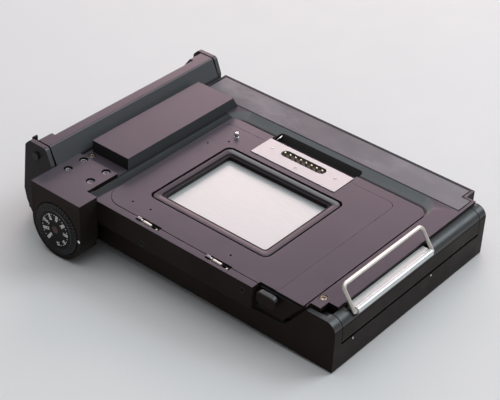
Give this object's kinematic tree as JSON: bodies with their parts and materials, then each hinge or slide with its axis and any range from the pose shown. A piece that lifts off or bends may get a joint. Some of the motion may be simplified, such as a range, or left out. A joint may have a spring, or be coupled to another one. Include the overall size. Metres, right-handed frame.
{
  "type": "instant film back",
  "caption": "Instant pack-film back for a modular medium format camera: hinged film holder with rollers, adapter plate, dark slide with wire handle, contacts and a film speed dial.",
  "frame": {"origin": "middle of the footprint, on the surface that the back rests on", "axes": "+X along the dark slide towards its handle, +Y towards the worn side strip, +Z out of the camera-facing side"},
  "size_m": [0.1747, 0.1292, 0.0417],
  "materials": {
    "black_shell": "fine satin black",
    "black_frame": "fine satin black",
    "black_metal": "satin black paint",
    "housing_paint": "satin black paint",
    "bezel_black": "satin black",
    "worn_grey": "worn grey covering",
    "stainless": "fine brushed",
    "bright_steel": "polished",
    "spring_steel": "plain spring steel",
    "pale_aluminium": "fine satin",
    "gilt": "polished",
    "contact_resin": "dark brown resin",
    "felt": "black felt",
    "dial_black": "matt black with white marks",
    "white_mark": "white paint",
    "screw_black": "blackened steel",
    "screw_steel": "plain steel"
  },
  "bodies": {
    "back": {"holder_body": "black_shell", "door_hinge_pin": "spring_steel", "film_mask": "black_metal", "roller_housing": "housing_paint", "roller_bracket": "spring_steel", "yoke_rivets": "screw_black", "interface_frame": "black_frame", "interface_plate": "black_frame", "gate_bezel": "bezel_black", "locating_pin": "bright_steel", "contact_plate": "pale_aluminium", "contact_rivets": "pale_aluminium", "contact_block": "contact_resin", "latch_catches": "bright_steel", "slide_light_trap": "felt", "side_strip": "worn_grey", "raised_block": "black_frame", "dial_housing": "black_frame", "index_dot": "white_mark", "housing_screws": "screw_black", "plate_screw": "screw_steel", "side_screws": "screw_steel"},
    "door": {"film_door": "black_shell", "pack_springs": "spring_steel"},
    "upper_roller_body": {"upper_roller": "bright_steel"},
    "lower_roller_body": {"lower_roller": "bright_steel"},
    "yoke": {"locking_yoke": "housing_paint"},
    "slide": {"dark_slide": "stainless"},
    "handle": {"slide_handle": "stainless"},
    "dial": {"film_speed_dial": "dial_black"},
    "button": {"release_button": "dial_black", "release_spring": "spring_steel"},
    "contacts": {"contact_pins": "gilt", "contact_springs": "spring_steel"}
  },
  "joints": [
    {"name": "door_hinge", "type": "hinge", "parent": "back", "child": "door", "pos_m": [0.08155, 0.00565, 0.0253], "axis": [0, -1, 0], "range_deg": [0, 65]},
    {"name": "slide_pull", "type": "slide", "parent": "back", "child": "slide", "axis": [1, 0, 0], "range_m": [0, 0.1]},
    {"name": "handle_swing", "type": "hinge", "parent": "slide", "child": "handle", "pos_m": [0.08575, -0.00835, 0.0293], "axis": [0, 1, 0], "range_deg": [-5, 118]},
    {"name": "yoke_swing", "type": "hinge", "parent": "back", "child": "yoke", "pos_m": [-0.07785, 0.00565, 0.0358], "axis": [0, 1, 0], "range_deg": [0, 55]},
    {"name": "dial_turn", "type": "hinge", "parent": "back", "child": "dial", "pos_m": [-0.0533, -0.06435, 0.0149], "axis": [0, -1, 0], "range_deg": [-130, 130]},
    {"name": "upper_roller_spin", "type": "hinge", "parent": "back", "child": "upper_roller_body", "pos_m": [-0.07715, 0.00565, 0.0222], "axis": [0, 1, 0], "continuous": true},
    {"name": "lower_roller_spin", "type": "hinge", "parent": "back", "child": "lower_roller_body", "pos_m": [-0.07715, 0.00565, 0.016], "axis": [0, 1, 0], "continuous": true},
    {"name": "button_press", "type": "slide", "parent": "back", "child": "button", "axis": [0, 1, 0], "range_m": [0, 0.001], "stiffness_N_per_m": 300, "springref_m": -0.001},
    {"name": "contact_press", "type": "slide", "parent": "back", "child": "contacts", "axis": [0, 0, -1], "range_m": [0, 0.0007], "stiffness_N_per_m": 300, "springref_m": -0.0005}
  ],
  "couplings": [
    {"joint": "lower_roller_spin", "follows": "upper_roller_spin", "ratio": -1}
  ]
}
